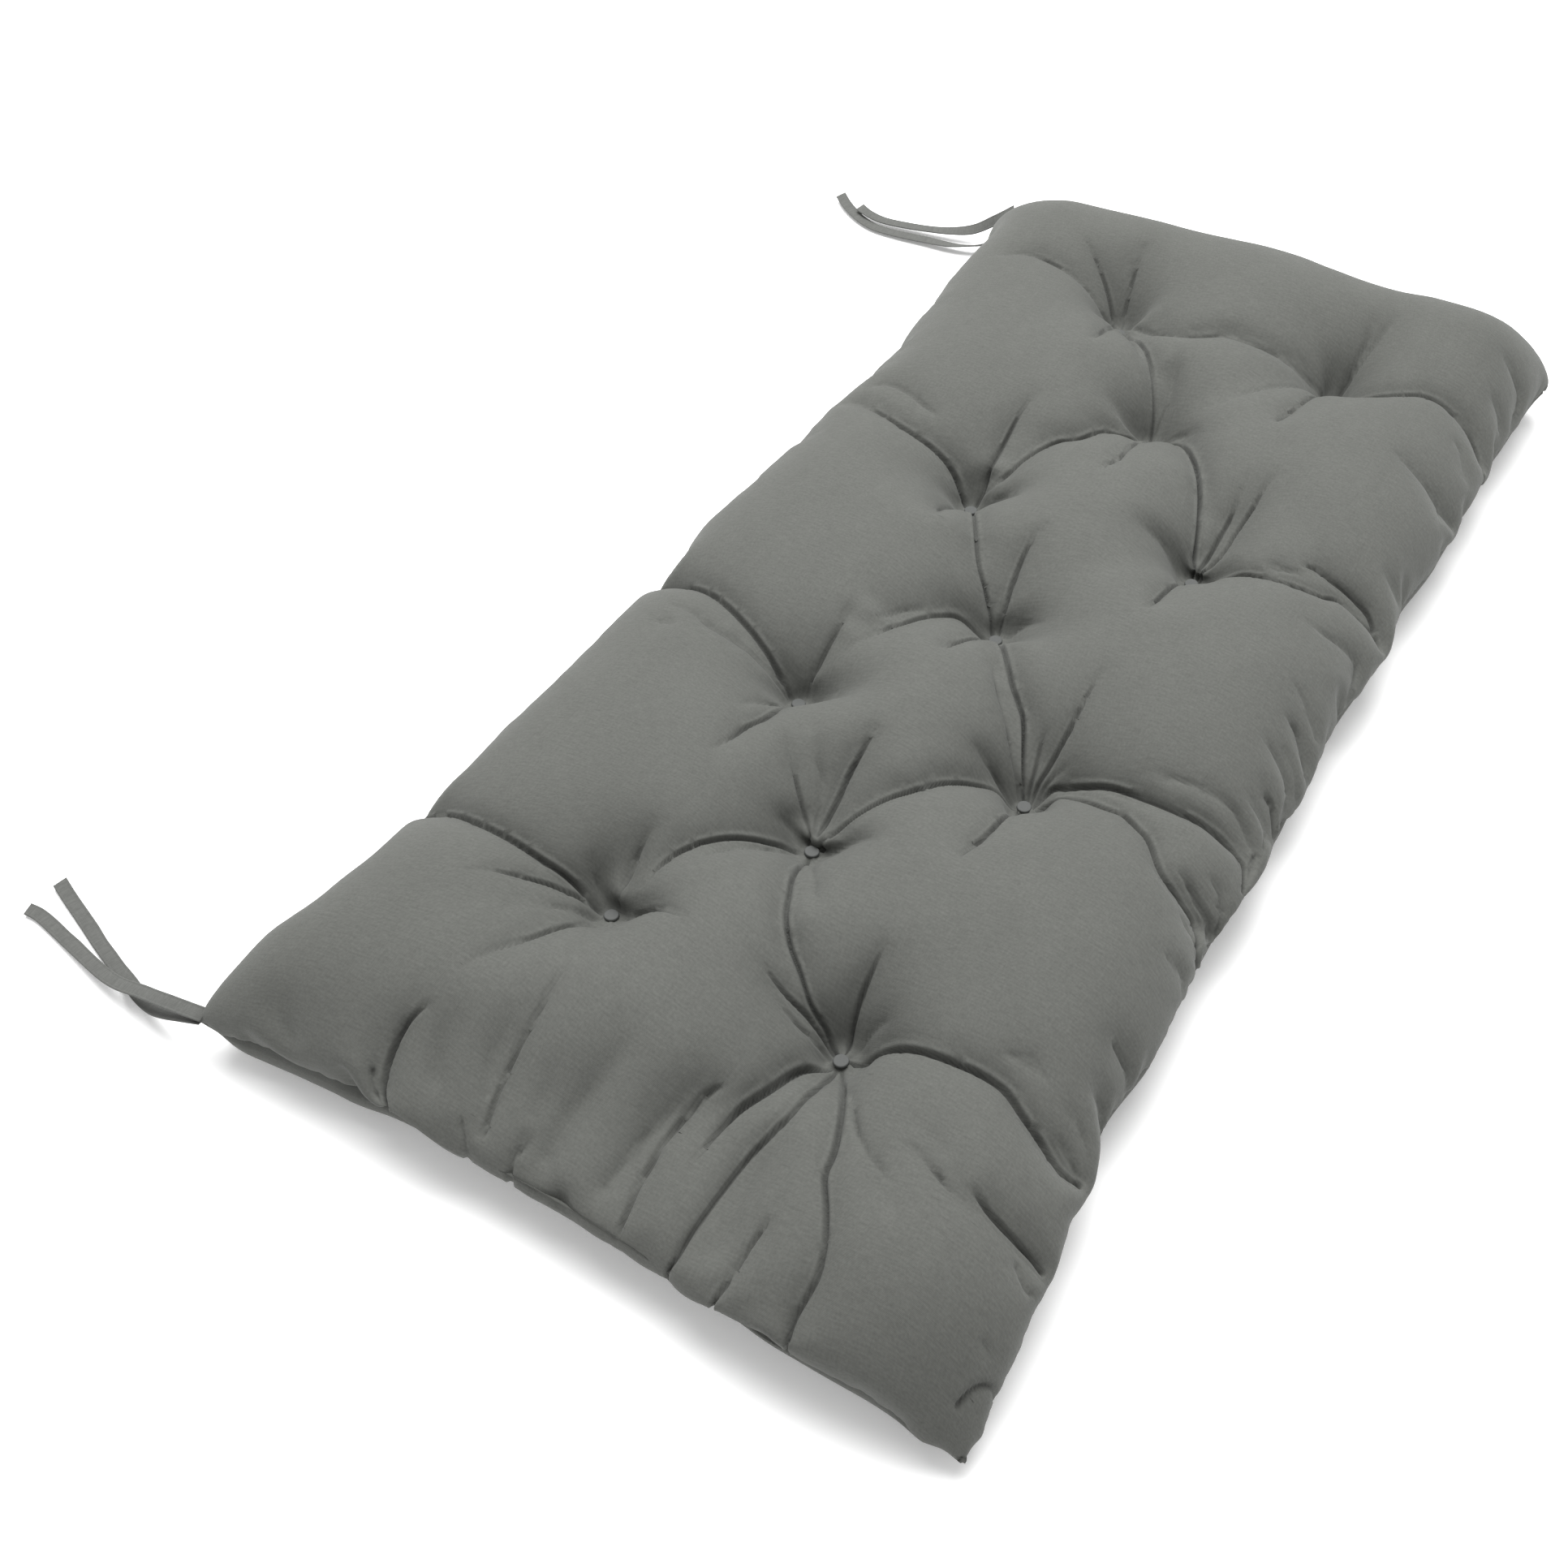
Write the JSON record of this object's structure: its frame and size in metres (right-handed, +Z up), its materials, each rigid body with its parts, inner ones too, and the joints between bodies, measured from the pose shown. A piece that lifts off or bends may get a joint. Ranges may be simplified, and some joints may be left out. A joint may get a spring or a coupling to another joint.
{
  "type": "bench cushion",
  "caption": "Filled rectangular bench seat cushion with tufted top, drawn-in sides, pointed corners, small buttons and loose tie tapes at the corners of one long side.",
  "frame": {"origin": "on the surface the cushion lies on, under the middle of the filled cover's plan; the ties are not counted", "axes": "+X along the cushion, +Y towards the long side whose corners carry the ties, +Z up out of the tufted side"},
  "size_m": [1.0143, 0.6863, 0.0988],
  "materials": {
    "cover_fabric": "smooth matte woven fabric, mid grey",
    "tie_fabric": "the same cloth folded and stitched into flat tape",
    "button": "small grey button, matte"
  },
  "bodies": {
    "root": {"cushion": "cover_fabric", "button_1_open": "button", "button_1_tied": "button", "button_1_middle": "button", "button_2_open": "button", "button_2_tied": "button", "button_2_middle": "button", "button_3_open": "button", "button_3_tied": "button", "button_3_middle": "button", "button_4_open": "button", "button_4_tied": "button", "tie_near_upper": "tie_fabric", "tie_near_lower": "tie_fabric", "tie_far_upper": "tie_fabric", "tie_far_lower": "tie_fabric"}
  },
  "joints": []
}
